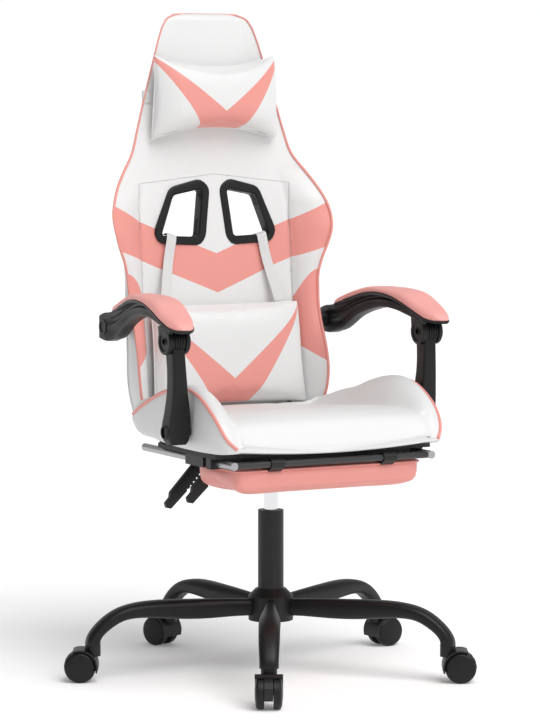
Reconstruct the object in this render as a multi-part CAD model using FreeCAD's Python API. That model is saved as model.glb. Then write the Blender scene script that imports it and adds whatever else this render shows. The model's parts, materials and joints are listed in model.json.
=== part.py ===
# Gaming chair: five-leg base, gas lift, recline linkage, upholstered seat and back, pull-out footrest.
# Millimetres. +Z up, the sitter faces -Y, +X is the sitter's left. Origin: on the floor under the column.
import math
import os

import FreeCAD
import Part

V = FreeCAD.Vector
os.makedirs("parts", exist_ok=True)

# ---- driving dimensions ------------------------------------------------------------------------
GAP = 0.3                 # clearance round soft parts and plain covers
RUN = 0.05                # radial running clearance of shafts in bores

LEG_COUNT = 5
LEG_START = -118.6        # heading of the first leg, degrees
STEM_CIRCLE = 357.0       # radius the caster stems stand on
LEG_END_Z = 72.0
HUB_R = 43.5
HUB_Z = (103.0, 150.0)
HUB_TOP_Z = 164.0

WHEEL_R = 30.0
WHEEL_INNER = 8.5         # inner face of each wheel, from the caster's middle plane
WHEEL_OUTER = 26.0
TRAIL = 24.0
STEM_R = 5.5
AXLE_R = 4.0
CASTER_HEADINGS = (-118.6, -28.0, 5.0, 112.0, 152.0)   # where each caster trails, degrees

COLUMN_R = 25.0
COLUMN_TOP = 315.0
COLUMN_FOOT = 99.0
LIFT_R = 14.0
LIFT_FOOT = 190.0
LIFT_SHOULDER = 392.0     # where the taper enters the seat mechanism
LIFT_TOP = 436.0
ROD_R = 5.0

BOARD_Z = (449.0, 457.0)
BOARD_X = 231.0
BOARD_Y = (-214.0, 125.0)
SEAT_HALF = 170.0         # half width of the centre cushion
SEAT_FRONT_HALF = 205.0   # half width of the front roll
SEAT_TONGUE = (146.0, 172.0)   # half width and rear end of the cushion's tail, between the hinge plates
WING_X = 235.0

RECLINE = (214.0, 499.0)  # pivot A, (y, z)
ARM_PIVOT = (205.0, 669.0)    # pivot B
KNUCKLE = (-131.0, 664.0)     # pivot C
POST_PIVOT = (KNUCKLE[0] + RECLINE[0] - ARM_PIVOT[0], KNUCKLE[1] + RECLINE[1] - ARM_PIVOT[1])   # pivot D

BACK_FOOT = (213.5, 515.0)    # front lower edge of the back, (y, z)
BACK_LEAN = 4.4
BACK_HALF = 153.0
CUSHION_T = 22.0
SHELL_T = 10.0
HINGE_X = (147.5, 152.5)
PLATE_X = (153.3, 158.3)

ROD_X = 211.0
ROD_Z = 439.0
SLIDE_R = 7.5
CROSSBAR_Y = -247.0
PAD_X = 190.0
PAD_Y = (-232.0, -70.0)
PAD_Z = (383.0, 419.0)


# ---- helpers -----------------------------------------------------------------------------------
def box(x, y, z):
    return Part.makeBox(x[1] - x[0], y[1] - y[0], z[1] - z[0], V(x[0], y[0], z[0]))


def rod(r, start, end):
    a = V(*start)
    b = V(*end)
    return Part.makeCylinder(r, (b - a).Length, a, b - a)


def tube(r_out, r_in, z):
    return rod(r_out, (0, 0, z[0]), (0, 0, z[1])).cut(rod(r_in, (0, 0, z[0] - 1), (0, 0, z[1] + 1)))


def face(points):
    return Part.Face(Part.makePolygon([V(*p) for p in points] + [V(*points[0])]))


def slab_x(points, x):
    """Side profile of (y, z) points, extruded across x."""
    return face([(x[0], p[0], p[1]) for p in points]).extrude(V(x[1] - x[0], 0, 0))


def slab_y(points, y):
    """Front outline of (x, z) points, extruded across y."""
    return face([(p[0], y[0], p[1]) for p in points]).extrude(V(0, y[1] - y[0], 0))


def loft(sections, ruled=False):
    wires = [Part.makePolygon([V(*p) for p in s] + [V(*s[0])]) for s in sections]
    return Part.makeLoft(wires, True, ruled)


def fuse(shapes):
    return shapes[0].multiFuse(shapes[1:]).removeSplitter()


def mirror_x(shape):
    return shape.mirror(V(0, 0, 0), V(1, 0, 0))


def turned(shape, centre, axis, angle):
    out = shape.copy()
    out.rotate(V(*centre), V(*axis), angle)
    return out


def rounded(solid, radius, keep):
    """Rounds the edges whose middle point passes keep."""
    edges = [e for e in solid.Edges if keep(e.CenterOfMass)]
    return solid.makeFillet(radius, edges)


def save(name, *solids):
    shape = solids[0] if len(solids) == 1 else Part.makeCompound(list(solids))
    shape.exportStep("parts/" + name + ".step")


def save_pair(name, left):
    save(name + "_left", left)
    save(name + "_right", mirror_x(left))


# ---- base --------------------------------------------------------------------------------------
def oval(r, z, slope, height, width):
    """Smooth closed section of a leg, square to its centre line."""
    t = math.radians(slope)
    up = V(-math.sin(t), 0, math.cos(t))
    points = []
    for k in range(12):
        a = 2 * math.pi * k / 12
        c = math.cos(a)
        s = math.sin(a)
        across = math.copysign(abs(c) ** 0.75, c) * width / 2
        rise = math.copysign(abs(s) ** 0.75, s) * height / 2
        points.append(V(r, across, z) + up * rise)
    curve = Part.BSplineCurve()
    curve.interpolate(points, True)
    return Part.Wire([curve.toShape()])


def leg():
    path = (
        (30, 128, 0, 34, 22), (90, 130, 1, 36, 25), (160, 131, 1, 39, 33), (225, 134, 0, 35, 40),
        (275, 133, -10, 29, 41), (315, 121, -33, 26, 40), (342, 101, -57, 25, 38),
        (355, 84, -78, 26, 36), (STEM_CIRCLE, LEG_END_Z, -90, 28, 36),
    )
    return Part.makeLoft([oval(*p) for p in path], True, False)


def heading(i):
    return LEG_START + 360.0 / LEG_COUNT * i


def star_base():
    hub = rod(HUB_R, (0, 0, HUB_Z[0]), (0, 0, HUB_Z[1]))
    crown = Part.makeCone(HUB_R, COLUMN_R + 5, HUB_TOP_Z - HUB_Z[1], V(0, 0, HUB_Z[1]))
    body = hub.fuse(crown)
    for i in range(LEG_COUNT):
        body = body.fuse(turned(leg(), (0, 0, 0), (0, 0, 1), heading(i)))
    for i in range(LEG_COUNT):
        a = math.radians(heading(i))
        x = STEM_CIRCLE * math.cos(a)
        y = STEM_CIRCLE * math.sin(a)
        body = body.cut(rod(STEM_R + RUN, (x, y, LEG_END_Z - 2), (x, y, LEG_END_Z + 22)))
    body = body.cut(Part.makeCone(COLUMN_R - 1, COLUMN_R, HUB_Z[1] - HUB_Z[0], V(0, 0, HUB_Z[0])))
    return body.cut(rod(COLUMN_R, (0, 0, HUB_Z[1]), (0, 0, HUB_TOP_Z + 1)))


save("star_base", star_base())


# ---- casters -----------------------------------------------------------------------------------
def wheel():
    """Right-hand wheel in the caster's own frame: axle along +Y at (TRAIL, 0, WHEEL_R)."""
    profile = [
        (WHEEL_INNER, AXLE_R + RUN), (WHEEL_INNER, 9), (WHEEL_INNER + 5, 10), (WHEEL_INNER + 5, 24),
        (WHEEL_INNER, 25), (WHEEL_INNER, 29), (WHEEL_INNER + 1, WHEEL_R), (WHEEL_OUTER - 7, WHEEL_R),
        (WHEEL_OUTER - 4, 28.5), (WHEEL_OUTER - 2, 25), (WHEEL_OUTER - 1, 18), (WHEEL_OUTER, 9),
        (WHEEL_OUTER, 0), (23, 0), (23, AXLE_R + RUN),
    ]
    section = face([(r + TRAIL, w, WHEEL_R) for w, r in profile])
    return section.revolve(V(TRAIL, 0, WHEEL_R), V(0, 1, 0), 360)


def sector(r, start, end, width):
    arc = [(TRAIL, WHEEL_R)]
    steps = 10
    for k in range(steps + 1):
        a = math.radians(start + (end - start) * k / steps)
        arc.append((TRAIL + r * math.cos(a), WHEEL_R + r * math.sin(a)))
    return slab_y(arc, (-width / 2, width / 2))


def caster_hood():
    web = sector(31.5, -19, 197, 16).fuse(rod(11, (TRAIL, -8, WHEEL_R), (TRAIL, 8, WHEEL_R)))
    guard = sector(34.5, 66, 197, 52).cut(rod(31, (TRAIL, -40, WHEEL_R), (TRAIL, 40, WHEEL_R)))
    boss = rod(15, (0, 0, 50), (0, 0, LEG_END_Z - 0.5))
    boss = boss.cut(rod(31, (TRAIL, -40, WHEEL_R), (TRAIL, 40, WHEEL_R)))
    body = fuse([web, guard, boss])
    body = body.cut(rod(STEM_R, (0, 0, 53), (0, 0, LEG_END_Z)))
    return body.cut(rod(AXLE_R, (TRAIL, -20, WHEEL_R), (TRAIL, 20, WHEEL_R)))


def stem():
    low = rod(STEM_R, (0, 0, 53), (0, 0, LEG_END_Z + 14))
    neck = rod(STEM_R - 0.8, (0, 0, LEG_END_Z + 14), (0, 0, LEG_END_Z + 16))
    tip = Part.makeCone(STEM_R, STEM_R - 1, 5, V(0, 0, LEG_END_Z + 16))
    return fuse([low, neck, tip])


def place_caster(shape, i):
    a = math.radians(heading(i))
    out = turned(shape, (0, 0, 0), (0, 0, 1), CASTER_HEADINGS[i])
    out.translate(V(STEM_CIRCLE * math.cos(a), STEM_CIRCLE * math.sin(a), 0))
    return out


def save_casters():
    axle = rod(AXLE_R, (TRAIL, -22, WHEEL_R), (TRAIL, 22, WHEEL_R))
    left = wheel()
    right = left.mirror(V(0, 0, 0), V(0, 1, 0))
    for i in range(LEG_COUNT):
        n = str(i + 1)
        save("caster_hood_" + n, place_caster(caster_hood(), i))
        save("caster_pins_" + n, place_caster(stem(), i), place_caster(axle, i))
        save("wheel_" + n + "_left", place_caster(left, i))
        save("wheel_" + n + "_right", place_caster(right, i))


save_casters()


# ---- column and gas lift -----------------------------------------------------------------------
def column_tube():
    skin = rod(COLUMN_R, (0, 0, HUB_Z[1]), (0, 0, COLUMN_TOP))
    drop = HUB_Z[1] - HUB_Z[0]
    skin = skin.fuse(Part.makeCone(COLUMN_R - 1, COLUMN_R, drop, V(0, 0, HUB_Z[0])))
    skin = skin.fuse(rod(COLUMN_R - 1, (0, 0, COLUMN_FOOT), (0, 0, HUB_Z[0])))
    skin = skin.cut(rod(22, (0, 0, COLUMN_FOOT + 3), (0, 0, COLUMN_TOP + 1)))
    return skin.cut(rod(7, (0, 0, COLUMN_FOOT - 1), (0, 0, COLUMN_FOOT + 4))).removeSplitter()


def piston_rod():
    shank = rod(ROD_R, (0, 0, COLUMN_FOOT - 4), (0, 0, 290))
    thrust = rod(12, (0, 0, 108), (0, 0, 111))
    head = rod(LIFT_R - 1.5 - RUN, (0, 0, 280), (0, 0, 290))
    return fuse([shank, thrust, head])


def pressure_tube():
    body = rod(LIFT_R, (0, 0, LIFT_FOOT), (0, 0, LIFT_SHOULDER))
    taper = Part.makeCone(LIFT_R, LIFT_R - 1, LIFT_TOP - LIFT_SHOULDER, V(0, 0, LIFT_SHOULDER))
    valve = rod(4, (0, 0, LIFT_TOP - 1), (0, 0, LIFT_TOP + 5))
    body = fuse([body, taper, valve])
    body = body.cut(rod(LIFT_R - 1.5, (0, 0, LIFT_FOOT + 15), (0, 0, LIFT_TOP - 20)))
    return body.cut(rod(ROD_R + RUN, (0, 0, LIFT_FOOT - 1), (0, 0, LIFT_FOOT + 16)))


bushing = tube(22, LIFT_R + RUN, (COLUMN_TOP - 100, COLUMN_TOP))
collar = tube(COLUMN_R, LIFT_R + RUN, (COLUMN_TOP, COLUMN_TOP + 3))
save("column_tube", column_tube())
save("guide_bushing", fuse([bushing, collar]))
save("thrust_bearing", tube(20, 5.6, (COLUMN_FOOT + 3, 108)))
save("piston_rod", piston_rod())
save("rod_clip", tube(9, ROD_R, (COLUMN_FOOT - 2, COLUMN_FOOT - 0.5)))
save("pressure_tube", pressure_tube())


# ---- seat mechanism and levers -----------------------------------------------------------------
MECH_X = 85.0
MECH_Y = (-62.0, 115.0)
LEVER_Z = 424.0
HEIGHT_LEVER_Y = -34.0
RECLINE_LEVER_Y = 18.0
LEVER_PIVOT_X = -70.0


def mechanism_housing():
    tray = box((-MECH_X, MECH_X), MECH_Y, (400, BOARD_Z[0]))
    tray = tray.cut(box((-MECH_X + 3, MECH_X - 3), (MECH_Y[0] + 3, MECH_Y[1] - 3), (399, BOARD_Z[0] - 3)))
    flange = box((-MECH_X - 20, MECH_X + 20), MECH_Y, (BOARD_Z[0] - 3, BOARD_Z[0]))
    socket = rod(21, (0, 0, LIFT_SHOULDER), (0, 0, BOARD_Z[0] - 2))
    body = fuse([tray, flange, socket])
    body = body.cut(Part.makeCone(LIFT_R, LIFT_R - 1, LIFT_TOP - LIFT_SHOULDER, V(0, 0, LIFT_SHOULDER)))
    body = body.cut(rod(LIFT_R - 1, (0, 0, LIFT_TOP), (0, 0, LIFT_TOP + 6)))
    for y in (HEIGHT_LEVER_Y, RECLINE_LEVER_Y):
        body = body.cut(box((-MECH_X - 2, -MECH_X + 5), (y - 5, y + 5), (LEVER_Z - 7, LEVER_Z + 9)))
    return body


def lever(y, reach, root_x):
    """Steel rod from a hub on the pivot, ending in a ribbed paddle that hangs outwards and down."""
    hub = rod(6, (LEVER_PIVOT_X, y - 4.5, LEVER_Z), (LEVER_PIVOT_X, y + 4.5, LEVER_Z))
    shaft = rod(4, (LEVER_PIVOT_X, y, LEVER_Z), (root_x, y, LEVER_Z))
    outline = [(-14, -12), (reach - 22, -12), (reach - 14, -6), (reach, -6), (reach + 5, 2), (reach, 10)]
    teeth = 8
    pitch = (reach - 34) / teeth
    top = []
    for k in range(teeth):
        start = -6 + k * pitch
        top += [(start, 10), (start + pitch * 0.25, 13), (start + pitch * 0.75, 13)]
    outline += list(reversed(top)) + [(-14, 10)]
    paddle = slab_y(outline, (y - 4.5, y + 4.5))
    paddle = turned(paddle, (0, 0, 0), (0, 1, 0), 180 - 47)
    paddle.translate(V(root_x, 0, LEVER_Z - 6))
    return fuse([hub, shaft, paddle])


save("mechanism_housing", mechanism_housing())
save("height_lever", lever(HEIGHT_LEVER_Y, 90, -134))
save("recline_lever", lever(RECLINE_LEVER_Y, 110, -141))


# ---- seat --------------------------------------------------------------------------------------
def seat_board():
    corner = [(BOARD_X, BOARD_Y[0]), (BOARD_X, 25), (165, BOARD_Y[1])]
    outline = [(x, y, BOARD_Z[0]) for x, y in corner] + [(-x, y, BOARD_Z[0]) for x, y in reversed(corner)]
    plate = face(outline).extrude(V(0, 0, BOARD_Z[1] - BOARD_Z[0]))
    y, z = POST_PIVOT
    tab = box((BOARD_X - 5, BOARD_X), (y - 25, y + 25), (BOARD_Z[0], z + 24))
    tab = tab.cut(rod(5, (BOARD_X - 10, y, z), (BOARD_X + 10, y, z)))
    body = fuse([plate, tab, mirror_x(tab)])
    return body.cut(rod(20, (0, 0, BOARD_Z[0] - 1), (0, 0, BOARD_Z[1] + 1)))


def seat_cushion():
    base = BOARD_Z[1] + GAP
    side = [
        (BOARD_Y[1], base), (BOARD_Y[1], 513), (20, 516), (-100, 522), (-185, 530), (-225, 526),
        (-249, 508), (-258, 485), (-254, 464), (-243, base),
    ]
    roll = slab_x(side, (-SEAT_FRONT_HALF, SEAT_FRONT_HALF))
    for s in (-1, 1):
        x = sorted((s * SEAT_HALF, s * (SEAT_FRONT_HALF + 5)))
        roll = roll.cut(box(x, (-200, BOARD_Y[1] + 5), (base - 5, 560)))
    tongue = box((-SEAT_TONGUE[0], SEAT_TONGUE[0]), (BOARD_Y[1] - 1, SEAT_TONGUE[1]), (base, 512))
    return fuse([roll, tongue])


def seat_bolster():
    """Left wing of the seat: stations along y of bottom, piping, crest and inner heights."""
    stations = (
        (136, 490, 503, 527, 513), (109, 471, 515, 534, 513), (43, 465, 542, 548, 516),
        (-20, 459, 562, 566, 519), (-80, 457.3, 569, 577, 522), (-125, 457.3, 571, 578, 526),
        (-160, 457.3, 560, 568, 529), (-200, 457.3, 538, 544, 528), (-245, 457.3, 500, 503, 500),
        (-274, 460, 473, 474, 472),
    )
    inner = SEAT_HALF + GAP
    sections = []
    for y, low, pipe, crest, seat in stations:
        low = max(low, BOARD_Z[1] + GAP)
        sections.append([(inner, y, low), (WING_X, y, low), (WING_X, y, pipe), (212, y, crest),
                         (190, y, (crest + seat) / 2 + 2), (inner, y, seat)])
    wing = loft(sections, True)
    wing = wing.cut(box((0, SEAT_FRONT_HALF + GAP), (-300, -200 + GAP), (400, 600)))
    y, z = POST_PIVOT
    wing = wing.cut(box((BOARD_X - 5 - GAP, BOARD_X + GAP), (y - 25 - GAP, y + 25 + GAP), (400, z + 24 + GAP)))
    return wing.cut(rod(5 + GAP, (BOARD_X - 12, y, z), (WING_X + 5, y, z)))


def seat_hinge_plate():
    y, z = RECLINE
    web = slab_x([(50, 432), (50, BOARD_Z[0]), (126, BOARD_Z[0]), (y - 10, z + 10), (y + 10, z - 10), (140, 432)],
                 HINGE_X)
    eye = rod(14, (HINGE_X[0], y, z), (HINGE_X[1], y, z))
    foot = box((HINGE_X[0] - 22, HINGE_X[0]), (50, 122), (BOARD_Z[0] - 3, BOARD_Z[0]))
    stud = rod(6, (HINGE_X[1] - 2, y, z), (PLATE_X[1] + 1, y, z))
    return fuse([web, eye, foot, stud])


save("seat_board", seat_board())
save("seat_cushion", seat_cushion())
save_pair("seat_bolster", seat_bolster())
save("seat_hinge_plates", seat_hinge_plate(), mirror_x(seat_hinge_plate()))


# ---- back --------------------------------------------------------------------------------------
# Half width of the back at each height, measured up its own face.
BACK_HEAD = ((1052, 162), (1100, 149), (1150, 134), (1200, 119), (1245, 102), (1268, 92), (1280, 80), (1285, 60))
SLOT = ((46, 933), (90, 921), (117, 843), (54, 841))
RING = ((13, 936), (31, 954), (104, 937), (137, 848), (122, 826), (35, 823), (22, 838))


def lean(shape):
    """Places a shape drawn on the back's own face: y 0 at the front surface, z 515 at its foot."""
    out = shape.copy()
    out.translate(V(0, BACK_FOOT[0], 0))
    out.rotate(V(0, BACK_FOOT[0], BACK_FOOT[1]), V(1, 0, 0), -BACK_LEAN)
    return out


def back_outline(half):
    right = [(half, BACK_FOOT[1]), (half, 1052)] + [(w, z) for z, w in BACK_HEAD if w < half]
    return right + [(-x, z) for x, z in reversed(right)]


def sleeve_outline(grow):
    wire = Part.makePolygon([V(x, 0, z) for x, z in SLOT + SLOT[:1]])
    return wire.makeOffset2D(grow, 2)


def sleeve(grow, y):
    side = Part.Face(sleeve_outline(grow)).extrude(V(0, y[1] - y[0], 0))
    side.translate(V(0, y[0], 0))
    return side


def back_cushion():
    body = slab_y(back_outline(BACK_HALF), (0, CUSHION_T))
    hole = sleeve(6 + GAP, (-5, 60))
    return lean(body.cut(hole).cut(mirror_x(hole)))


def back_shell():
    body = slab_y(back_outline(PLATE_X[0]), (CUSHION_T + GAP, CUSHION_T + SHELL_T))
    hole = sleeve(6, (-5, 60))
    return lean(body.cut(hole).cut(mirror_x(hole)))


def back_plate(grow=0.0):
    """Side plate of the back, from the recline pivot up past the arm pivot."""
    x = (PLATE_X[0] - grow, PLATE_X[1] + grow)
    ay, az = RECLINE
    by, bz = ARM_PIVOT
    r = 15 + grow
    bar = slab_x([(ay - r, az), (by - r, bz + 30), (by + r, bz + 30), (ay + r, az)], x)
    tabs = [slab_x([(by, z), (by + 45 + grow, z), (by + 45 + grow, z + 45), (by, z + 45)], x) for z in (550, 640)]
    eye = rod(r, (x[0], ay, az), (x[1], ay, az))
    return fuse([bar, eye] + tabs)


def back_bolster():
    """Left side wing of the back: stations up its face of half width, front edge and rear edge."""
    stations = (
        (508, 203, -72, -10), (560, 210, -80, -14), (620, 209, -77, -20), (680, 208, -58, -22),
        (730, 210, -42, -20), (770, 213, -38, -18), (810, 226, -44, -22), (850, 240, -50, -28),
        (880, 242, -44, -24), (910, 234, -36, -16), (940, 220, -23, -4), (975, 197, -11, 6), (1030, 170, 0, 14),
    )
    inner = BACK_HALF + GAP
    sections = []
    for z, half, front, rear in stations:
        mid = inner + (half - inner) * 0.55
        sections.append([(inner, 0, z), (mid, front * 0.62, z), (half, front, z), (half - 1, rear, z),
                         (mid, (rear + 2 * (CUSHION_T + SHELL_T)) / 3, z), (inner, CUSHION_T + SHELL_T, z)])
    wing = lean(loft(sections, True)).cut(back_plate(GAP))
    y, z = ARM_PIVOT
    return wing.cut(rod(5 + GAP, (PLATE_X[0], y, z), (230, y, z)))


def bezel():
    ring = slab_y(RING, (-4, 0))
    body = ring.fuse(sleeve(6, (-4, CUSHION_T + SHELL_T)))
    return lean(body.cut(sleeve(0, (-9, 60))))


def drilled_back_plate():
    y, z = RECLINE
    plate = back_plate().cut(rod(6 + RUN, (PLATE_X[0] - 5, y, z), (PLATE_X[1] + 5, y, z)))
    y, z = ARM_PIVOT
    return plate.cut(rod(5, (PLATE_X[0] - 5, y, z), (PLATE_X[1] + 5, y, z)))


save("back_cushion", back_cushion())
save("back_shell", back_shell())
save_pair("back_bolster", back_bolster())
save_pair("bezel", bezel())
save("back_hinge_plates", drilled_back_plate(), mirror_x(drilled_back_plate()))


# ---- loose cushions and straps -----------------------------------------------------------------
def pillow(half, z, back, depth, taper):
    """Plump cushion on the back's face: half widths at foot and top, heights, rear plane and depth."""
    rows = []
    for f, swell in ((0, 0.30), (0.18, 0.82), (0.5, 1.0), (0.82, 0.82), (1, 0.30)):
        w = half + taper * f
        h = z[0] + (z[1] - z[0]) * f
        edge = depth * 0.30
        rows.append([(-w, back, h), (-w, back - edge * swell, h), (-w * 0.72, back - depth * swell * 0.9, h),
                     (0, back - depth * swell, h), (w * 0.72, back - depth * swell * 0.9, h),
                     (w, back - edge * swell, h), (w, back, h)])
    return lean(loft(rows, True))


def head_strap():
    z = (1106, 1131)
    outer = box((-150, 150), (-10, CUSHION_T + SHELL_T + 2.2), z)
    inner = box((-148.2, 148.2), (-11, CUSHION_T + SHELL_T + 0.4), (z[0] - 1, z[1] + 1))
    return lean(outer.cut(inner))


def lumbar_strap():
    band = slab_y([(84, 822), (112, 822), (134, 716), (106, 716)], (-5.9, -4.4))
    return lean(band)


save("head_pillow", pillow(146, (1034, 1198), -0.4, 66, -4))
save("head_strap", head_strap())
save("lumbar_cushion", pillow(150, (519, 716), -0.4, 74, -12))
save("lumbar_straps", lumbar_strap(), mirror_x(lumbar_strap()))


# ---- arms --------------------------------------------------------------------------------------
# Stations front to back: y, top of the frame, underside, inner x, outer x, top of pad, pad inner x, pad outer x.
ARM = (
    (-182, 686, 682, 262, 284, 690, 257, 297), (-165, 689, 683, 255, 292, 699, 246, 307),
    (-135, 700, 685, 250, 294, 719, 239, 307), (-95, 714, 691, 249, 293, 737, 237, 304),
    (-50, 728, 700, 247, 288, 746, 234, 300), (-10, 734, 704, 243, 283, 748, 232, 294),
    (40, 731, 697, 239, 277, 745, 230, 286), (90, 720, 682, 235, 270, 733, 228, 276),
    (150, 705, 650, 232, 264, 715, 226, 267), (190, 698, 642, 232, 262, 704, 228, 262),
)
PAD_END = 150.0
EAR_INNER = (250.0, 258.5)
EAR_OUTER = (286.5, 295.0)
POST_X = (259.0, 286.0)


def slice_y(y, x, z):
    return [(x[0], y, z[0]), (x[1], y, z[0]), (x[1], y, z[1]), (x[0], y, z[1])]


def arm_frame():
    beam = loft([slice_y(s[0], (s[3], s[4]), (s[2], s[1])) for s in ARM])
    tray = loft([slice_y(s[0], (s[6] + 3, s[7] - 3), (s[1] - 4, s[1])) for s in ARM])
    tail = loft([slice_y(188, (232, 262), (642, 698)), slice_y(222, (232, 262), (647, 691))], True)
    body = fuse([beam, tray, tail])
    cy, cz = KNUCKLE
    body = body.cut(rod(24, (EAR_INNER[1], cy, cz), (EAR_OUTER[0], cy, cz)))
    for x in (EAR_INNER, EAR_OUTER):
        body = body.fuse(rod(25, (x[0], cy, cz), (x[1], cy, cz)))
    body = body.cut(rod(5, (240, cy, cz), (300, cy, cz)))
    by, bz = ARM_PIVOT
    body = body.fuse(rod(16, (211, by, bz), (240, by, bz)))
    body = body.cut(rod(5 + RUN, (200, by, bz), (270, by, bz)))
    return body.cut(rod(9.5, (255, by, bz), (270, by, bz)))


def arm_pad():
    whole = loft([slice_y(s[0], (s[6], s[7]), (s[1] + GAP, s[5])) for s in ARM])
    return whole.common(box((200, 330), (-260, PAD_END), (650, 780)))


def arm_post():
    stations = (
        (470, 252, 285, 13), (480, 249, 288, 19), (505, 247, 290, 23), (530, 251, 288, 21),
        (565, 257, 286, 17), (610, 259, 286, 16), (650, 259, 286, 17),
    )
    dy, dz = POST_PIVOT
    cy, cz = KNUCKLE
    sections = []
    for z, x0, x1, half in stations:
        y = dy + (cy - dy) * (z - dz) / (cz - dz)
        sections.append([(x0, y - half, z), (x1, y - half, z), (x1, y + half, z), (x0, y + half, z)])
    body = fuse([loft(sections), rod(22, (POST_X[0], cy, cz), (POST_X[1], cy, cz)), rod(12, (236, dy, dz), (255, dy, dz))])
    body = body.cut(rod(5 + RUN, (240, cy, cz), (300, cy, cz)))
    body = body.cut(rod(5 + RUN, (230, dy, dz), (300, dy, dz)))
    return body.cut(rod(9.5, (283, dy, dz), (300, dy, dz)))


def shoulder_bolt(pivot, start, seat, head):
    y, z = pivot
    shank = rod(5, (start, y, z), (seat, y, z))
    cap = rod(9, (seat, y, z), (seat + head, y, z))
    return shank.fuse(cap).removeSplitter()


save_pair("arm_frame", arm_frame())
save_pair("arm_pad", arm_pad())
save_pair("arm_post", arm_post())
save_pair("knuckle_pin", rod(5, (EAR_INNER[0], KNUCKLE[0], KNUCKLE[1]), (EAR_OUTER[1], KNUCKLE[0], KNUCKLE[1])))
arm_bolt = shoulder_bolt(ARM_PIVOT, PLATE_X[0], 255.3, 5)
post_bolt = shoulder_bolt(POST_PIVOT, BOARD_X - 5, 283.3, 4)
save("arm_bolts", arm_bolt, mirror_x(arm_bolt))
save("post_bolts", post_bolt, mirror_x(post_bolt))


# ---- footrest ----------------------------------------------------------------------------------
def footrest_rails():
    """Front bar, side bars and two sleeves that guide the slide rods, welded."""
    front = box((-228, 228), (-191, -172), (428.5, BOARD_Z[0]))
    body = [front]
    for s in (-1, 1):
        side = box(sorted((s * 176, s * 196)), (-173, -20), (434, BOARD_Z[0]))
        grip = box(sorted((s * 194, s * 226)), (-155, -82), (428.5, BOARD_Z[0]))
        body += [side, grip]
    body = fuse(body)
    for s in (-1, 1):
        body = body.cut(rod(SLIDE_R + RUN, (s * ROD_X, -200, ROD_Z), (s * ROD_X, 0, ROD_Z)))
    return body.cut(box((-160, 160), (-192, -171), (420, 434)))


def footrest_rods():
    bars = [rod(SLIDE_R, (s * ROD_X, CROSSBAR_Y - 7.5, ROD_Z), (s * ROD_X, 123, ROD_Z)) for s in (-1, 1)]
    return fuse(bars + [rod(6.5, (-ROD_X, CROSSBAR_Y, ROD_Z), (ROD_X, CROSSBAR_Y, ROD_Z))])


def footrest_board():
    plate = box((-PAD_X + 6, PAD_X - 6), (PAD_Y[0] + 3, PAD_Y[1] - 3), (PAD_Z[1] + GAP, 427))
    clips = []
    for x in (-120, 120):
        span = (x - 14, x + 14)
        ring = rod(9.5, (span[0], CROSSBAR_Y, ROD_Z), (span[1], CROSSBAR_Y, ROD_Z))
        strut = slab_x([(CROSSBAR_Y - 3, 431), (CROSSBAR_Y + 6, 433), (-205, 427), (-205, 424), (-240, 424)], span)
        clips += [ring, strut]
    body = fuse([plate] + clips)
    return body.cut(rod(6.5 + RUN, (-PAD_X, CROSSBAR_Y, ROD_Z), (PAD_X, CROSSBAR_Y, ROD_Z)))


def footrest_pad():
    pad = box((-PAD_X, PAD_X), PAD_Y, PAD_Z)
    return rounded(pad, 14, lambda c: c.z < PAD_Z[1] - 1)


save("footrest_rails", footrest_rails())
save("footrest_rods", footrest_rods())
save("footrest_board", footrest_board())
save("footrest_pad", footrest_pad())
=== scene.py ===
import json
import math

import bmesh
import bpy
import numpy as np
from mathutils import Matrix, Vector


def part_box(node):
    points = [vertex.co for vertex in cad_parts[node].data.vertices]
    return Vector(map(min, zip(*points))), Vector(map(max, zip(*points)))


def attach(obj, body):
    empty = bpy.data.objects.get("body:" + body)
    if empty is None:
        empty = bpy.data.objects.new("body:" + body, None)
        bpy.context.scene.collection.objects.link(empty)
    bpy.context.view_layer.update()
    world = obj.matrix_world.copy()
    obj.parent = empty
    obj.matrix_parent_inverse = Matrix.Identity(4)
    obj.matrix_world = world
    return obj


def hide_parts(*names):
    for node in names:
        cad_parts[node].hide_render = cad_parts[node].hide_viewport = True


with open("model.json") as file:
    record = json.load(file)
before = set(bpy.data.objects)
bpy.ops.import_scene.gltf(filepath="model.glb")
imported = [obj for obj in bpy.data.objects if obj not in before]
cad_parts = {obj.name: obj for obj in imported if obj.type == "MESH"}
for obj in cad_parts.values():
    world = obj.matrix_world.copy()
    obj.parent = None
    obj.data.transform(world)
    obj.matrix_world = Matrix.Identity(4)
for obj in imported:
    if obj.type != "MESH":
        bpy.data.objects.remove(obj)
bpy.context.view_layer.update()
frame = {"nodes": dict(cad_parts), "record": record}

PINK = (0.81, 0.315, 0.275)
PINK_PAD = (0.90, 0.40, 0.365)
WHITE = (0.765, 0.765, 0.762)
BLACK = (0.0065, 0.0065, 0.0070)


# ---- small tools ---------------------------------------------------------------------------------
def low(node):
    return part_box(node)[0]


def high(node):
    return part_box(node)[1]


def mix(a, b, t):
    return a + (b - a) * t


def axis_of(node):
    """Where a pin or a bolt along X lies: y, z."""
    return tuple(mix(low(node)[i], high(node)[i], 0.5) for i in (1, 2))


def clamp(value):
    return min(1.0, max(0.0, value))


def signed_power(value, power):
    return math.copysign(abs(value) ** power, value)


def around(count):
    return np.linspace(0, 2 * math.pi, count, endpoint=False)


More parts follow.
